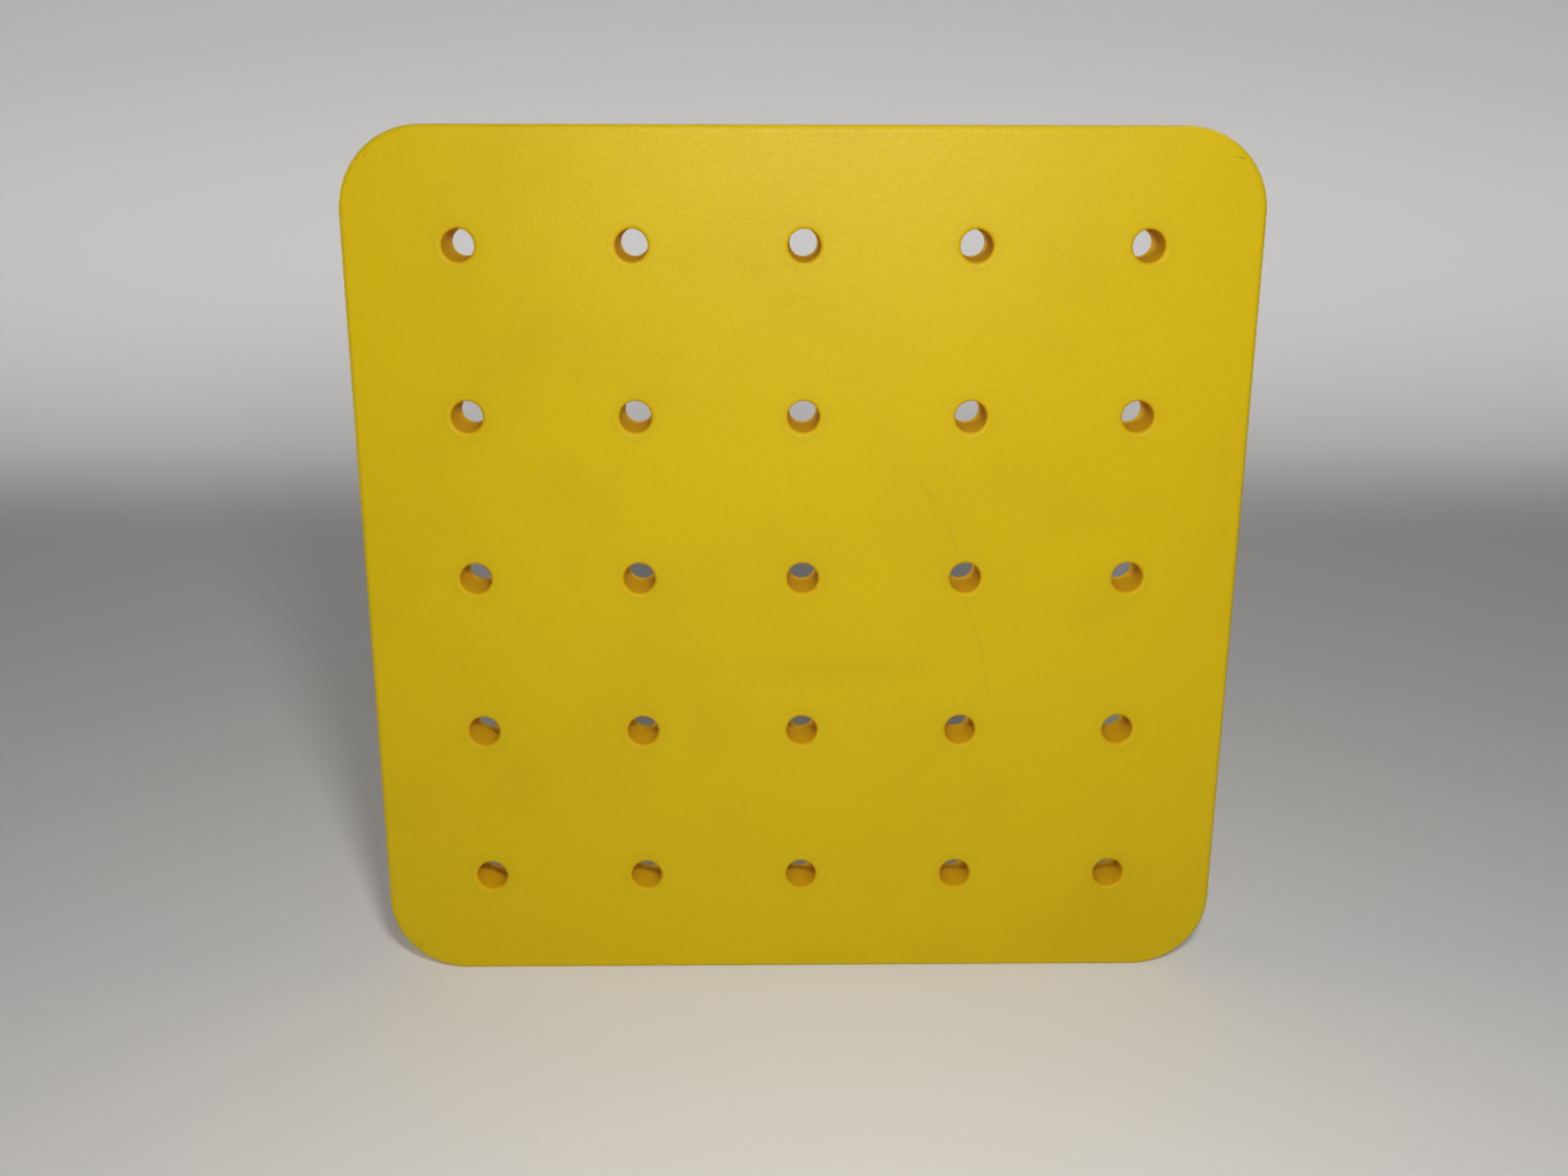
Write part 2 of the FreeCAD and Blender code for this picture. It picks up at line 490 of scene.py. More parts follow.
def makeScrew(values):
    low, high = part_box(screwNames[0])
    centre = nodeCentre(screwNames[0])
    top = high.y
    base = top - values["headHeight"]
    tipStart = low.y + values["tipLength"]
    shank = values["shankRadius"]
    core = shank - values["threadRise"]
    head = values["headRadius"]
    steps = [(head * values["rimShrink"], top), (head, top - values["rimDrop"]), (shank, base)]
    rise = (base - tipStart) / (2 * values["threadCount"])
    for number in range(values["threadCount"]):
        y = base - 2 * number * rise
        steps.append((core, y - rise))
        steps.append((shank, y - 2 * rise))
    steps.append((shank * values["pointShare"], low.y))
    screw = makeTurned("screwModel", centre, steps, values["sides"])

    # cross recess from two tapered blades
    blades = []
    size = (values["slotLength"], 2 * values["slotDepth"], values["slotWidth"])
    along, across = values["slotTaper"]
    for turn, taper in ((0.0, (along, 1, across)), (quarterTurn, (across, 1, along))):
        deselectAll()
        bpy.ops.mesh.primitive_cube_add(size=1, location=(centre.x, top, centre.z), rotation=(0, turn, 0),
                                        scale=size)
        blade = nameNew("blade")
        editOn(blade, "FACE")
        selectFaces(blade, lambda p, n: n.y < -facing)
        bpy.ops.transform.resize(value=taper, center_override=(centre.x, top, centre.z))
        editOff()
        blades.append(blade)
    for blade in blades:
        applyModifier(screw, "BOOLEAN", operation="DIFFERENCE", object=blade, solver="EXACT")
        bpy.data.objects.remove(blade)
    applyModifier(screw, "BEVEL", width=values["edgeRound"], segments=values["edgeSteps"],
                  limit_method="ANGLE", angle_limit=math.radians(values["edgeAngle"]))
    finishSurface(screw, values["shadeAngle"])
    return screw


def copyPerNode(model, names, pieceNames, turns):
    start = nodeCentre(names[0])
    made = []
    for name, pieceName, turn in zip(names, pieceNames, turns):
        made.append(copyTo(model, pieceName, nodeCentre(name) - start, turn))
    bpy.data.objects.remove(model)
    return made


turnPicker = random.Random(screwValues["turnSeed"])
screwTurns = [turnPicker.uniform(0, quarterTurn) for _ in screwNames]
screwPieceNames = [f"coverScrew{name[-2:]}" for name in screwNames]
screwPieces = copyPerNode(makeScrew(screwValues), screwNames, screwPieceNames, screwTurns)
print("screws:", len(screwPieces))


# rubber feet, modelled once and copied

footValues = {
    "edgeRound": 0.0006,
    "edgeSteps": 5,
    "dishInset": 0.0022,
    "dishSlope": 0.0004,
    "dishDepth": 0.0003,
    "floorInset": 0.0010,
    "shadeAngle": 45,
    "sides": 64,
}


def makeFoot(values):
    low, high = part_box(footNames[0])
    centre = nodeCentre(footNames[0])
    outer = (high.x - low.x) / 2

    def onRim(point):
        return near(point.y, high.y) and nearCircle(point, centre, outer, arcGap)

    deselectAll()
    bpy.ops.mesh.primitive_cylinder_add(vertices=values["sides"], radius=outer, depth=high.y - low.y,
                                        location=centre, rotation=(quarterTurn, 0, 0))
    foot = nameNew("footModel")
    editOn(foot, "FACE")
    selectFaces(foot, lambda p, n: n.y > facing)
    bpy.ops.mesh.inset(thickness=values["dishInset"])
    bpy.ops.mesh.inset(thickness=values["dishSlope"])
    bpy.ops.transform.translate(value=(0, -values["dishDepth"], 0))
    bpy.ops.mesh.inset(thickness=values["floorInset"])
    bpy.ops.mesh.select_mode(type="EDGE")
    selectEdges(foot, onRim)
    roundEdges(values["edgeRound"], values["edgeSteps"])
    editOff()
    finishSurface(foot, values["shadeAngle"])
    return foot


footPieceNames = [f"rubberFoot{number}" for number in range(1, len(footNames) + 1)]
footPieces = copyPerNode(makeFoot(footValues), footNames, footPieceNames, [0.0] * len(footNames))
print("feet:", len(footPieces))


# shader node groups shared by the finishes

def addNode(tree, kind, **settings):
    node = tree.nodes.new(kind)
    for key, value in settings.items():
        setattr(node, key, value)
    return node


def feed(tree, socket, value):
    # a link where the value is a socket, else a plain number
    if isinstance(value, bpy.types.NodeSocket):
        tree.links.new(value, socket)
    else:
        socket.default_value = value


def calc(tree, operation, first, second=0.0, third=0.0):
    node = addNode(tree, "ShaderNodeMath", operation=operation)
    for socket, value in zip(node.inputs, (first, second, third)):
        feed(tree, socket, value)
    return node.outputs[0]


def product(tree, first, *others):
    result = first
    for other in others:
        result = calc(tree, "MULTIPLY", result, other)
    return result


def gapTo(tree, value, origin):
    return calc(tree, "SUBTRACT", value, origin)


def hypotenuse(tree, first, second):
    squares = calc(tree, "MULTIPLY_ADD", first, first, calc(tree, "MULTIPLY", second, second))
    return calc(tree, "SQRT", squares)


def splitPlace(tree, place):
    node = addNode(tree, "ShaderNodeSeparateXYZ")
    tree.links.new(place, node.inputs[0])
    return node.outputs


def fade(tree, value, start, end):
    # 0 at start, 1 at end, with soft ends
    node = addNode(tree, "ShaderNodeMapRange", interpolation_type="SMOOTHSTEP")
    for name, number in (("Value", value), ("From Min", start), ("From Max", end)):
        feed(tree, node.inputs[name], number)
    return node.outputs["Result"]


def noise(tree, place, scale, detail=3.0, roughness=0.5):
    node = addNode(tree, "ShaderNodeTexNoise")
    tree.links.new(place, node.inputs["Vector"])
    feed(tree, node.inputs["Scale"], scale)
    node.inputs["Detail"].default_value = detail
    node.inputs["Roughness"].default_value = roughness
    return node.outputs[0]


def blendColour(tree, amount, first, second):
    node = addNode(tree, "ShaderNodeMix", data_type="RGBA")
    feed(tree, node.inputs[0], amount)
    for socket, colour in ((node.inputs[6], first), (node.inputs[7], second)):
        feed(tree, socket, colour if isinstance(colour, bpy.types.NodeSocket) else (*colour, 1))
    return node.outputs[2]


def newGroup(name, inputs, outputs):
    group = bpy.data.node_groups.new(name, "ShaderNodeTree")
    group.interface.new_socket(name="Coordinates", in_out="INPUT", socket_type="NodeSocketVector")
    for socketName, value in inputs.items():
        socket = group.interface.new_socket(name=socketName, in_out="INPUT", socket_type="NodeSocketFloat")
        socket.default_value = value
    for socketName in outputs:
        group.interface.new_socket(name=socketName, in_out="OUTPUT", socket_type="NodeSocketFloat")
    return group, addNode(group, "NodeGroupInput"), addNode(group, "NodeGroupOutput")


def useGroup(tree, group, place, **values):
    node = addNode(tree, "ShaderNodeGroup", node_tree=group)
    tree.links.new(place, node.inputs["Coordinates"])
    for key, value in values.items():
        feed(tree, node.inputs[key], value)
    return node


markValues = {
    "patchScale": 0.3,                 # frequency of the coarser grain against the fine one
    "patchShare": 0.70,                # its share of the grain's height
    "mottleFade": (0.32, 0.68),
    "smudgeFade": (0.45, 0.72),
    "blotchFade": (0.60, 0.74),
    "lineFade": (1.0, 0.1),            # across a thin line or band, 1 at its edge
    "ringFade": (1.0, 0.2),            # the same
    "ringBreakScale": 220.0,
    "ringBreakFade": (0.35, 0.60),
    "ringStrength": (0.7, 0.3),        # random share and least share
    "grimeFade": (0.0050, 0.0008),     # distance from the bore, in metres
    "boreFade": (0.0010, 0.0001),      # the same
    "boreEndFade": (0.0002, 0.0012),   # distance from the back, in metres
    "scuffWander": 0.0012,
    "scuffWanderScale": 60.0,
    "scuffEndFade": (0.0, 0.06),       # in radians
    "scuffBreakScale": 160.0,
    "scuffBreakFade": (0.30, 0.55),
    "patchWander": 2.6,
    "patchWanderScale": 80.0,
    "patchFade": (1.7, -0.2),
    "rubScale": 75.0,
    "rubFade": (0.45, 0.72),
    "nickScale": 420.0,
    "nickFade": (0.70, 0.76),
}


def makeMouldTexture(values):
    # fine moulded grain, a slightly coarser mottle, and the slow waviness of a large flat moulding
    inputs = {"Grain": 2200.0, "Wave": 18.0}
    group, start, end = newGroup("mouldTexture", inputs, ("Height", "Mottle", "Waviness"))
    place, grain = start.outputs["Coordinates"], start.outputs["Grain"]
    fine = noise(group, place, grain, 2.0, 0.6)
    patch = noise(group, place, calc(group, "MULTIPLY", grain, values["patchScale"]), 3.0, 0.6)
    wave = noise(group, place, start.outputs["Wave"], 1.0, 0.4)
    fineHeight = calc(group, "MULTIPLY", fine, 1 - values["patchShare"])
    height = calc(group, "MULTIPLY_ADD", patch, values["patchShare"], fineHeight)
    group.links.new(height, end.inputs["Height"])
    group.links.new(fade(group, patch, *values["mottleFade"]), end.inputs["Mottle"])
    group.links.new(wave, end.inputs["Waviness"])
    return group


def makeHandlingMarks(values):
    # broad finger smudges and small darker blotches
    inputs = {"Smudge Scale": 16.0, "Blotch Scale": 90.0}
    group, start, end = newGroup("handlingMarks", inputs, ("Smudge", "Blotch"))
    place = start.outputs["Coordinates"]
    smudge = noise(group, place, start.outputs["Smudge Scale"], 3.0, 0.55)
    blotch = noise(group, place, start.outputs["Blotch Scale"], 4.0, 0.6)
    group.links.new(fade(group, smudge, *values["smudgeFade"]), end.inputs["Smudge"])
    group.links.new(fade(group, blotch, *values["blotchFade"]), end.inputs["Blotch"])
    return group


def makeSocketMarks(values):
    # the faint ring that peg shoulders rub round each socket, a little off centre, grime round the mouth, and
    # the inside of the bore, a mask for a rougher surface and for painted warm bounce light there
    inputs = {"Pitch": pitch, "Ring Radius": shellValues["witnessRadius"], "Ring Width": 0.0006,
              "Drift": 0.0012, "Bore": boreRadius}
    group, start, end = newGroup("socketMarks", inputs, ("Ring", "Grime", "Inside"))
    coordinates, step = start.outputs["Coordinates"], start.outputs["Pitch"]
    place = splitPlace(group, coordinates)
    across = calc(group, "DIVIDE", place["X"], step)
    up = calc(group, "DIVIDE", gapTo(group, place["Z"], middle.z), step)
    cell = addNode(group, "ShaderNodeCombineXYZ")
    group.links.new(calc(group, "ROUND", across), cell.inputs["X"])
    group.links.new(calc(group, "ROUND", up), cell.inputs["Y"])
    cellRandom = addNode(group, "ShaderNodeTexWhiteNoise", noise_dimensions="3D")
    group.links.new(cell.outputs[0], cellRandom.inputs["Vector"])
    shift = splitPlace(group, cellRandom.outputs["Color"])

    # distances from the socket's centre, and from a ring centre that drifts a little
    fromCentre, fromDrifted = [], []
    for part, axis in ((across, "X"), (up, "Y")):
        local = calc(group, "MULTIPLY", gapTo(group, part, calc(group, "ROUND", part)), step)
        drift = calc(group, "MULTIPLY", gapTo(group, shift[axis], 0.5), start.outputs["Drift"])
        fromCentre.append(local)
        fromDrifted.append(gapTo(group, local, drift))
    fromRing = gapTo(group, hypotenuse(group, *fromDrifted), start.outputs["Ring Radius"])
    offRing = calc(group, "ABSOLUTE", fromRing)
    band = fade(group, calc(group, "DIVIDE", offRing, start.outputs["Ring Width"]), *values["ringFade"])
    strength = calc(group, "MULTIPLY_ADD", shift["Z"], *values["ringStrength"])
    breaks = noise(group, coordinates, values["ringBreakScale"], 2.0)
    broken = fade(group, breaks, *values["ringBreakFade"])
    group.links.new(product(group, band, broken, strength), end.inputs["Ring"])

    fromBore = gapTo(group, hypotenuse(group, *fromCentre), start.outputs["Bore"])
    group.links.new(fade(group, fromBore, *values["grimeFade"]), end.inputs["Grime"])
    beforeEnd = fade(group, place["Y"], *(shellHigh.y - gap for gap in values["boreEndFade"]))
    within = fade(group, fromBore, *values["boreFade"])
    group.links.new(calc(group, "MULTIPLY", within, beforeEnd), end.inputs["Inside"])
    return group


def makeScuffArc(values):
    # one long thin scuff along part of a circle, seen from the face
    inputs = {"Centre X": 0.0, "Centre Z": 0.0, "Radius": 0.1, "Width": 0.0004, "From": 0.0, "To": 1.0}
    group, start, end = newGroup("scuffArc", inputs, ("Scuff",))
    coordinates = start.outputs["Coordinates"]
    place = splitPlace(group, coordinates)
    dx = gapTo(group, place["X"], start.outputs["Centre X"])
    dz = gapTo(group, place["Z"], start.outputs["Centre Z"])
    waver = noise(group, coordinates, values["scuffWanderScale"])
    wander = calc(group, "MULTIPLY", gapTo(group, waver, 0.5), values["scuffWander"])
    fromArc = gapTo(group, hypotenuse(group, dx, dz), start.outputs["Radius"])
    off = calc(group, "ABSOLUTE", calc(group, "ADD", fromArc, wander))
    line = fade(group, calc(group, "DIVIDE", off, start.outputs["Width"]), *values["lineFade"])
    angle = calc(group, "ARCTAN2", dz, dx)
    begins = fade(group, gapTo(group, angle, start.outputs["From"]), *values["scuffEndFade"])
    stops = fade(group, gapTo(group, start.outputs["To"], angle), *values["scuffEndFade"])
    broken = fade(group, noise(group, coordinates, values["scuffBreakScale"]), *values["scuffBreakFade"])
    group.links.new(product(group, line, broken, begins, stops), end.inputs["Scuff"])
    return group


def makeSoftBlotch(values):
    # one soft darker patch with a wandering outline, seen from the face
    inputs = {"Centre X": 0.0, "Centre Z": 0.0, "Half Width": 0.02, "Half Height": 0.01}
    group, start, end = newGroup("softBlotch", inputs, ("Blotch",))
    coordinates = start.outputs["Coordinates"]
    place = splitPlace(group, coordinates)
    dx = gapTo(group, place["X"], start.outputs["Centre X"])
    dz = gapTo(group, place["Z"], start.outputs["Centre Z"])
    across = calc(group, "DIVIDE", dx, start.outputs["Half Width"])
    up = calc(group, "DIVIDE", dz, start.outputs["Half Height"])
    wander = gapTo(group, noise(group, coordinates, values["patchWanderScale"], 5.0, 0.65), 0.5)
    away = calc(group, "MULTIPLY_ADD", wander, values["patchWander"], hypotenuse(group, across, up))
    group.links.new(fade(group, away, *values["patchFade"]), end.inputs["Blotch"])
    return group


def makeEdgeWear(values):
    # rubbed and nicked plastic along the outline: distance to a rounded square, broken up by noise
    inputs = {"Half Side": shellHigh.x, "Corner Radius": shellValues["cornerRadius"], "Width": 0.0022}
    group, start, end = newGroup("edgeWear", inputs, ("Wear", "Nicks"))
    coordinates = start.outputs["Coordinates"]
    place = splitPlace(group, coordinates)
    straight = gapTo(group, start.outputs["Half Side"], start.outputs["Corner Radius"])
    across = gapTo(group, calc(group, "ABSOLUTE", place["X"]), straight)
    up = gapTo(group, calc(group, "ABSOLUTE", gapTo(group, place["Z"], middle.z)), straight)
    outX, outZ = calc(group, "MAXIMUM", across, 0.0), calc(group, "MAXIMUM", up, 0.0)
    nearest = calc(group, "MINIMUM", calc(group, "MAXIMUM", across, up), 0.0)
    reach = calc(group, "ADD", hypotenuse(group, outX, outZ), nearest)
    inside = gapTo(group, start.outputs["Corner Radius"], reach)
    band = fade(group, calc(group, "DIVIDE", inside, start.outputs["Width"]), *values["lineFade"])
    rubbed = fade(group, noise(group, coordinates, values["rubScale"], 4.0, 0.65), *values["rubFade"])
    nicks = fade(group, noise(group, coordinates, values["nickScale"], 2.0), *values["nickFade"])
    group.links.new(calc(group, "MULTIPLY", band, rubbed), end.inputs["Wear"])
    group.links.new(calc(group, "MULTIPLY", band, nicks), end.inputs["Nicks"])
    return group


mouldTexture = makeMouldTexture(markValues)
handlingMarks = makeHandlingMarks(markValues)
socketMarks = makeSocketMarks(markValues)
scuffArc = makeScuffArc(markValues)
softBlotch = makeSoftBlotch(markValues)
edgeWear = makeEdgeWear(markValues)
print("shader groups made")


# finishes

def newMaterial(name, roughness, **inputs):
    material = bpy.data.materials.new(name)
    material.use_nodes = True
    tree = material.node_tree
    shader = tree.nodes["Principled BSDF"]
    shader.inputs["Roughness"].default_value = roughness
    for key, value in inputs.items():
        shader.inputs[key.replace("_", " ")].default_value = value
    place = addNode(tree, "ShaderNodeTexCoord").outputs["Object"]
    return material, tree, shader, place


def addBump(tree, shader, *layers):
    # bump in (height, depth) layers, each on top of the one before
    normal = None
    for height, depth in layers:
        bump = addNode(tree, "ShaderNodeBump")
        bump.inputs["Distance"].default_value = depth
        bump.inputs["Strength"].default_value = 1.0
        tree.links.new(height, bump.inputs["Height"])
        if normal:
            tree.links.new(normal, bump.inputs["Normal"])
        normal = bump.outputs["Normal"]
    tree.links.new(normal, shader.inputs["Normal"])


def tint(tree, mask, amount, colour, newColour):
    return blendColour(tree, calc(tree, "MULTIPLY", mask, amount), colour, newColour)


def setRoughness(tree, shader, base, *changes):
    # the base plus each mask times its amount
    rough = base
    for mask, amount in changes:
        rough = calc(tree, "MULTIPLY_ADD", mask, amount, rough)
    tree.links.new(rough, shader.inputs["Roughness"])


def setMaterial(piece, material):
    piece.data.materials.clear()
    piece.data.materials.append(material)


yellowValues = {
    "colour": (0.640, 0.452, 0.0002),
    "deepColour": (0.560, 0.370, 0.0002),
    "smudgeColour": (0.500, 0.330, 0.0010),
    # painted warm bounce light: the bores are coloured a deeper orange than the face
    "boreBounceLightColour": (0.720, 0.425, 0.0001),
    "grimeColour": (0.330, 0.190, 0.0050),
    "scuffColour": (0.300, 0.180, 0.0100),
    "wornColour": (0.720, 0.560, 0.0500),
    "specular": 0.2,
    "roughness": 0.42,
    "boreRoughness": 0.75,
    "mottleRoughness": 0.06,
    "wornRoughness": 0.14,
    "grain": 2200.0,
    "grainDepth": 0.00014,
    "waveDepth": 0.00025,
    "mottleAmount": 0.16,
    "smudgeAmount": 0.22,
    "blotchAmount": 0.20,
    "ringAmount": 0.07,
    "grimeAmount": 0.07,
    "scuffAmount": 0.14,
    "wearAmount": 0.20,
    "nickAmount": 0.50,
    # scuffs as (centre x, centre z, radius, width, from, to) in metres and radians
    "scuffs": (
        (-0.0162, 0.1235, 0.0675, 0.0012, 0.26, 0.80),
        (-0.0281, 0.0904, 0.0875, 0.0009, 0.04, 0.47),
        (-0.1500, 0.1500, 0.0292, 0.0006, 0.24, 0.56),
    ),
    # darker patches as (centre x, centre z, half width, half height)
    "blotches": (
        (-0.0854, 0.2055, 0.0200, 0.0120),
        (-0.0722, 0.1635, 0.0150, 0.0110),
        (-0.0715, 0.1390, 0.0050, 0.0070),
        (0.0099, 0.1065, 0.0260, 0.0050),
        (-0.0280, 0.0837, 0.0090, 0.0120),
        (0.0926, 0.1260, 0.0120, 0.0100),
        (-0.0889, 0.0662, 0.0100, 0.0140),
    ),
}


def makeYellowPlastic(values):
    material, tree, shader, place = newMaterial("yellowPlastic", values["roughness"],
                                                Specular_IOR_Level=values["specular"])
    texture = useGroup(tree, mouldTexture, place, Grain=values["grain"]).outputs
    marks = useGroup(tree, handlingMarks, place).outputs
    rings = useGroup(tree, socketMarks, place).outputs
    wear = useGroup(tree, edgeWear, place).outputs

    blotch = 0.0
    for x, z, halfWidth, halfHeight in values["blotches"]:
        inputs = {"Centre X": x, "Centre Z": z, "Half Width": halfWidth, "Half Height": halfHeight}
        patch = useGroup(tree, softBlotch, place, **inputs)
        blotch = calc(tree, "MAXIMUM", patch.outputs["Blotch"], blotch)
    scuff = 0.0
    for x, z, radius, width, start, stop in values["scuffs"]:
        inputs = {"Centre X": x, "Centre Z": z, "Radius": radius, "Width": width, "From": start, "To": stop}
        line = useGroup(tree, scuffArc, place, **inputs)
        scuff = calc(tree, "MAXIMUM", line.outputs["Scuff"], scuff)

    colour = values["colour"]
    for mask, amount, newColour in ((texture["Mottle"], "mottleAmount", "deepColour"),
                                    (marks["Smudge"], "smudgeAmount", "smudgeColour"),
                                    (blotch, "blotchAmount", "smudgeColour"),
                                    (rings["Ring"], "ringAmount", "grimeColour"),
                                    (rings["Grime"], "grimeAmount", "grimeColour"),
                                    (scuff, "scuffAmount", "scuffColour"),
                                    (wear["Wear"], "wearAmount", "wornColour"),
                                    (wear["Nicks"], "nickAmount", "wornColour")):
        colour = tint(tree, mask, values[amount], colour, values[newColour])
    # painted warm bounce light: the inside of each bore is tinted a deeper orange
    colour = blendColour(tree, rings["Inside"], colour, values["boreBounceLightColour"])
    tree.links.new(colour, shader.inputs["Base Color"])

    setRoughness(tree, shader, values["roughness"],
                 (texture["Mottle"], values["mottleRoughness"]),
                 (wear["Wear"], values["wornRoughness"]),
                 (rings["Inside"], values["boreRoughness"] - values["roughness"]))
    addBump(tree, shader, (texture["Waviness"], values["waveDepth"]), (texture["Height"], values["grainDepth"]))
    return material


backValues = {
    "colour": (0.600, 0.420, 0.0004),
    "deepColour": (0.520, 0.335, 0.0004),
    "grimeColour": (0.300, 0.190, 0.0200),
    "specular": 0.3,
    "roughness": 0.52,
    "blotchRoughness": -0.12,
    "grain": 2000.0,
    "grainDepth": 0.00006,
    "wave": 24.0,
    "waveDepth": 0.00030,
    "smudgeScale": 22.0,
    "blotchScale": 60.0,
    "mottleAmount": 0.40,
    "smudgeAmount": 0.18,
    "grimeAmount": 0.22,
}


def useMarks(tree, place, values):
    scales = {"Smudge Scale": values["smudgeScale"], "Blotch Scale": values["blotchScale"]}
    return useGroup(tree, handlingMarks, place, **scales).outputs


def makeBackPlastic(values):
    material, tree, shader, place = newMaterial("backPlastic", values["roughness"],
                                                Specular_IOR_Level=values["specular"])
    texture = useGroup(tree, mouldTexture, place, Grain=values["grain"], Wave=values["wave"]).outputs
    marks = useMarks(tree, place, values)
    rings = useGroup(tree, socketMarks, place).outputs
    colour = tint(tree, texture["Mottle"], values["mottleAmount"], values["colour"], values["deepColour"])
    colour = tint(tree, marks["Smudge"], values["smudgeAmount"], colour, values["grimeColour"])
    colour = tint(tree, rings["Grime"], values["grimeAmount"], colour, values["grimeColour"])
    tree.links.new(colour, shader.inputs["Base Color"])
    setRoughness(tree, shader, values["roughness"], (marks["Blotch"], values["blotchRoughness"]))
    addBump(tree, shader, (texture["Waviness"], values["waveDepth"]), (texture["Height"], values["grainDepth"]))
    return material


zincValues = {
    "colour": (0.58, 0.58, 0.57),
    "deepColour": (0.46, 0.46, 0.47),
    "grimeColour": (0.28, 0.24, 0.19),
    "roughness": 0.30,
    "smudgeRoughness": 0.22,
    "grain": 5200.0,
    "grainDepth": 0.00001,
    "smudgeScale": 400.0,
    "blotchScale": 1100.0,
    "grimeAmount": 0.50,
}


def makeZinc(values):
    material, tree, shader, place = newMaterial("zincPlate", values["roughness"], Metallic=1.0)
    texture = useGroup(tree, mouldTexture, place, Grain=values["grain"]).outputs
    marks = useMarks(tree, place, values)
    colour = blendColour(tree, texture["Mottle"], values["colour"], values["deepColour"])
    colour = tint(tree, marks["Blotch"], values["grimeAmount"], colour, values["grimeColour"])
    tree.links.new(colour, shader.inputs["Base Color"])
    setRoughness(tree, shader, values["roughness"], (marks["Smudge"], values["smudgeRoughness"]))
    addBump(tree, shader, (texture["Height"], values["grainDepth"]))
    return material


rubberValues = {
    "colour": (0.030, 0.030, 0.031),
    "deepColour": (0.046, 0.045, 0.044),
    "dustColour": (0.150, 0.140, 0.125),
    "specular": 0.35,
    "roughness": 0.66,
    "blotchRoughness": 0.12,
    "grain": 2600.0,
    "grainDepth": 0.00004,
    "smudgeScale": 260.0,
    "blotchScale": 800.0,
    "dustAmount": 0.35,
}


def makeRubber(values):
    material, tree, shader, place = newMaterial("softRubber", values["roughness"],
                                                Specular_IOR_Level=values["specular"])
    texture = useGroup(tree, mouldTexture, place, Grain=values["grain"]).outputs
    marks = useMarks(tree, place, values)
    colour = blendColour(tree, texture["Mottle"], values["colour"], values["deepColour"])
    colour = tint(tree, marks["Smudge"], values["dustAmount"], colour, values["dustColour"])
    tree.links.new(colour, shader.inputs["Base Color"])
    setRoughness(tree, shader, values["roughness"], (marks["Blotch"], values["blotchRoughness"]))
    addBump(tree, shader, (texture["Height"], values["grainDepth"]))
    return material


setMaterial(boardShell, makeYellowPlastic(yellowValues))
setMaterial(backCover, makeBackPlastic(backValues))
zincPlate = makeZinc(zincValues)
for piece in screwPieces:
    setMaterial(piece, zincPlate)
softRubber = makeRubber(rubberValues)
for piece in footPieces:
    setMaterial(piece, softRubber)
print("finishes made")


# the pieces join the frame

def joinFrame(piece, node):
    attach(piece, "root")
    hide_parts(node)


joinFrame(boardShell, "front_shell")
joinFrame(backCover, "back_cover")
for piece, node in zip(screwPieces, screwNames):
    joinFrame(piece, node)
for piece, node in zip(footPieces, footNames):
    joinFrame(piece, node)


# stage, light and camera

stageValues = {
    "halfWidth": 4.0,
    "frontY": -2.6,
    "wallY": 1.15,
    "wallTop": 2.6,
    "sweepRadius": 0.35,
    "sweepSteps": 24,
    "roughness": 0.85,
    "specular": 0.2,
    "colour": (0.72, 0.71, 0.70),
    "glow": 0.05,              # keeps its far ends from going dark
}


def makeSweep(values):
    # a pale floor that curves up into a wall, open to the front
    deselectAll()
    bpy.ops.mesh.primitive_plane_add(size=1, location=(0, 0, 0))
    sweep = nameNew("paleSweep")
    editOn(sweep)
    mesh = bmesh.from_edit_mesh(sweep.data)
    for v in mesh.verts:
        v.co.x = math.copysign(values["halfWidth"], v.co.x)
        v.co.y = values["wallY"] if v.co.y > 0 else values["frontY"]
    bmesh.update_edit_mesh(sweep.data)
    selectEdges(sweep, lambda p: near(p.y, values["wallY"]))
    bpy.ops.mesh.extrude_region_move(TRANSFORM_OT_translate={"value": (0, 0, values["wallTop"])})
    selectEdges(sweep, lambda p: near(p.y, values["wallY"]) and near(p.z, 0))
    roundEdges(values["sweepRadius"], values["sweepSteps"])
    editOff()
    makeActive(sweep)
    bpy.ops.object.shade_smooth()
    colour = (*values["colour"], 1)
    material = newMaterial("palePaper", values["roughness"], Base_Color=colour,
                           Specular_IOR_Level=values["specular"], Emission_Color=colour,
                           Emission_Strength=values["glow"])[0]
    setMaterial(sweep, material)
    return sweep


paleSweep = makeSweep(stageValues)

lightValues = {
    "ambientColour": (0.95, 0.97, 1.0),
    "ambientStrength": 0.05,
    "skyColour": (0.62, 0.62, 0.61),   # what the camera sees past the floor
    # each light: place, aim, width, height, power and spread in degrees
    "lights": {
        "keySoftbox": ((0.03, -0.44, 0.36), (0.0, 0.0, 0.15), 0.06, 0.06, 1.68, 180),
        "fillSoftbox": ((-0.15, -0.90, 1.30), (0.0, 0.0, 0.12), 0.60, 0.60, 2.4, 180),
        "edgeSoftbox": ((0.55, 0.22, 1.00), (0.0, 0.0, 0.16), 0.40, 0.40, 3.2, 180),
        "rearSoftbox": ((-1.30, 0.60, 0.45), (0.0, 0.0, 0.14), 0.60, 0.60, 9.0, 180),
        "backdropStrip": ((0.0, 0.45, 0.90), (0.0, 1.12, 0.12), 5.00, 0.12, 4.2, 64),
        "floorSoftbox": ((0.0, -2.00, 1.00), (0.0, 0.0, 0.0), 0.70, 0.70, 3.6, 80),
    },
    "onObjectOnly": ("fillSoftbox", "edgeSoftbox", "rearSoftbox"),
    "onStageOnly": ("backdropStrip", "floorSoftbox"),   # the floor and backdrop
}


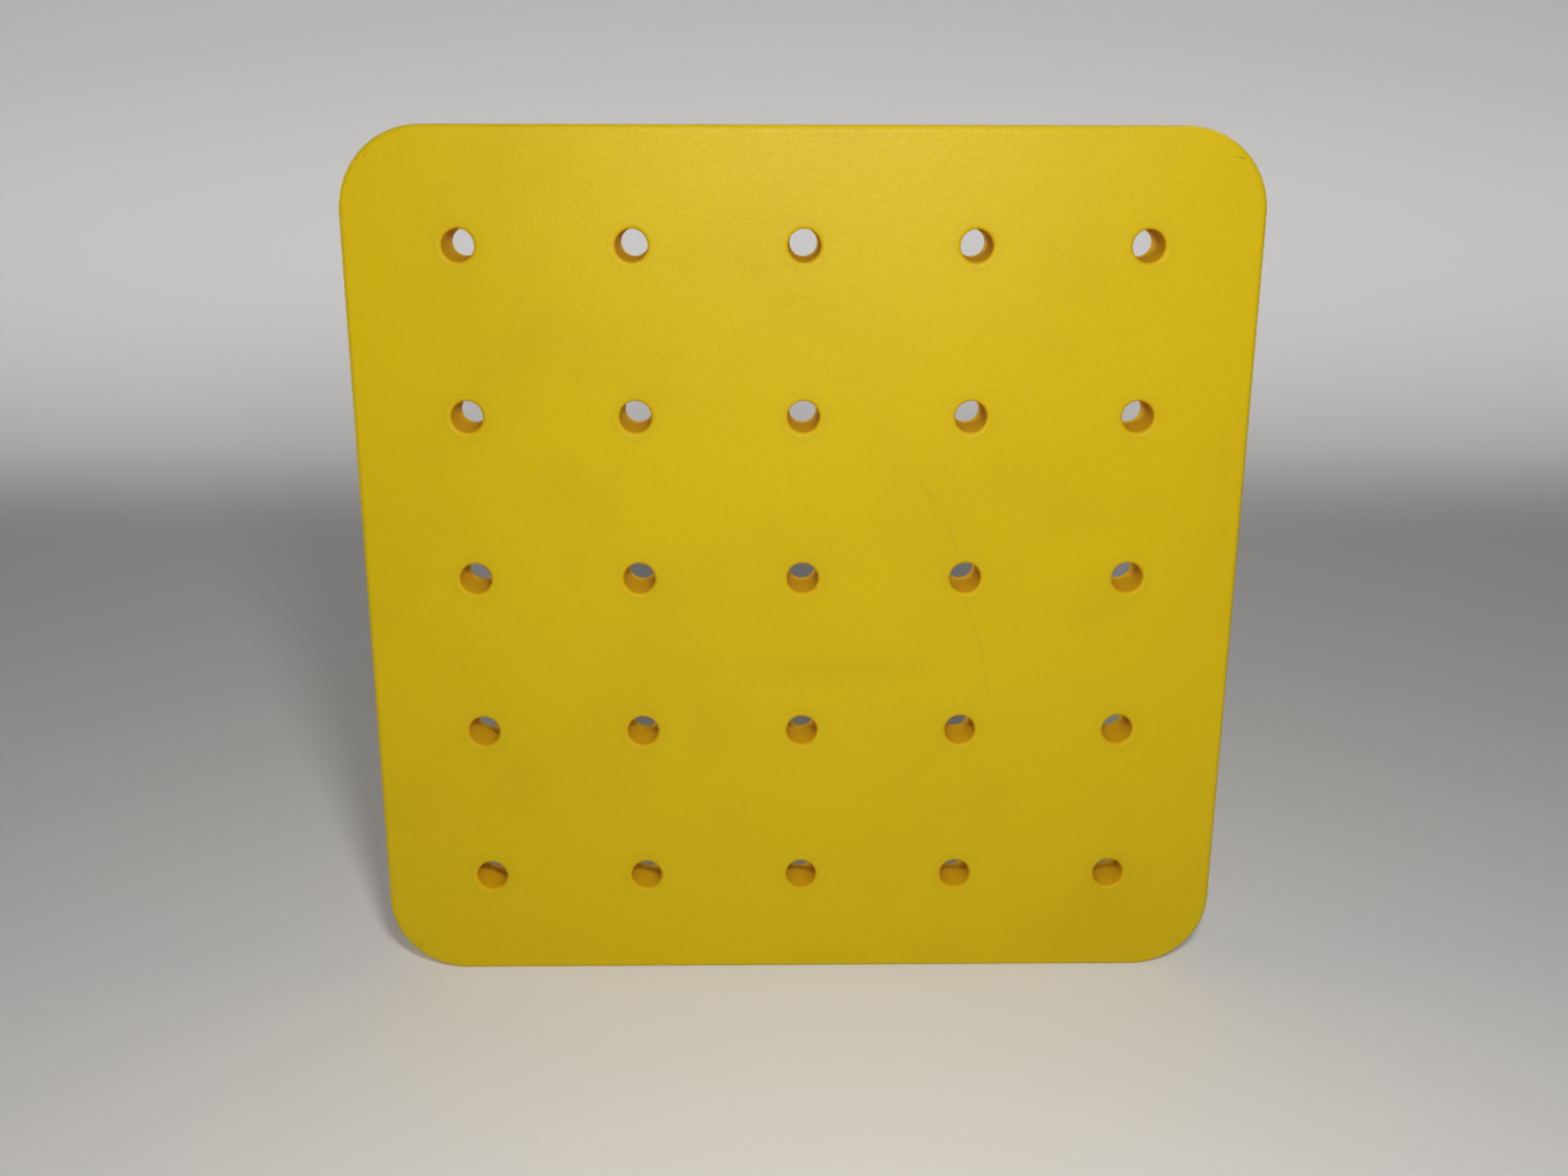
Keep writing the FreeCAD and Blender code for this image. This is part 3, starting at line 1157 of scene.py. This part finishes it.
def makeWorld(values):
    # a dim even light, with a paler tone where the camera looks past the floor
    world = bpy.data.worlds.new("studioWorld")
    bpy.context.scene.world = world
    world.use_nodes = True
    tree = world.node_tree
    ambient = tree.nodes["Background"]
    ambient.inputs["Color"].default_value = (*values["ambientColour"], 1)
    ambient.inputs["Strength"].default_value = values["ambientStrength"]
    sky = addNode(tree, "ShaderNodeBackground")
    sky.inputs["Color"].default_value = (*values["skyColour"], 1)
    seen = addNode(tree, "ShaderNodeLightPath")
    choose = addNode(tree, "ShaderNodeMixShader")
    tree.links.new(seen.outputs["Is Camera Ray"], choose.inputs[0])
    tree.links.new(ambient.outputs[0], choose.inputs[1])
    tree.links.new(sky.outputs[0], choose.inputs[2])
    tree.links.new(choose.outputs[0], tree.nodes["World Output"].inputs["Surface"])


def makeLights(values, sweep):
    objectOnly, stageOnly = (bpy.data.collections.new(name) for name in ("objectOnly", "stageOnly"))
    for piece in (boardShell, backCover, *screwPieces, *footPieces):
        objectOnly.objects.link(piece)
    stageOnly.objects.link(sweep)
    for name, (place, aim, width, height, power, spread) in values["lights"].items():
        bpy.ops.object.light_add(type="AREA", location=place)
        light = bpy.context.object
        light.name = name
        light.data.energy = power
        light.visible_camera = False
        light.data.shape = "RECTANGLE"
        light.data.size = width
        light.data.size_y = height
        light.data.spread = math.radians(spread)
        if name in values["onObjectOnly"]:
            light.light_linking.receiver_collection = objectOnly
        elif name in values["onStageOnly"]:
            light.light_linking.receiver_collection = stageOnly
        light.rotation_euler = (Vector(aim) - Vector(place)).to_track_quat("-Z", "Y").to_euler()


makeWorld(lightValues)
makeLights(lightValues, paleSweep)

cameraValues = {
    "fromFace": (-0.01308, -0.47128, 0.13686),   # from the middle of the playing face
    "turn": (73.472, -0.127, -0.849),
    "lens": 36.18,
    "sensorWidth": 36,
}


def makeCamera(values):
    faceMiddle = Vector((0, shellLow.y, middle.z))
    bpy.ops.object.camera_add(location=faceMiddle + Vector(values["fromFace"]),
                              rotation=[math.radians(angle) for angle in values["turn"]])
    camera = bpy.context.object
    camera.data.lens = values["lens"]
    camera.data.sensor_width = values["sensorWidth"]
    bpy.context.scene.camera = camera


makeCamera(cameraValues)
bpy.context.scene.view_settings.view_transform = "Standard"
print("stage, lights and camera made")
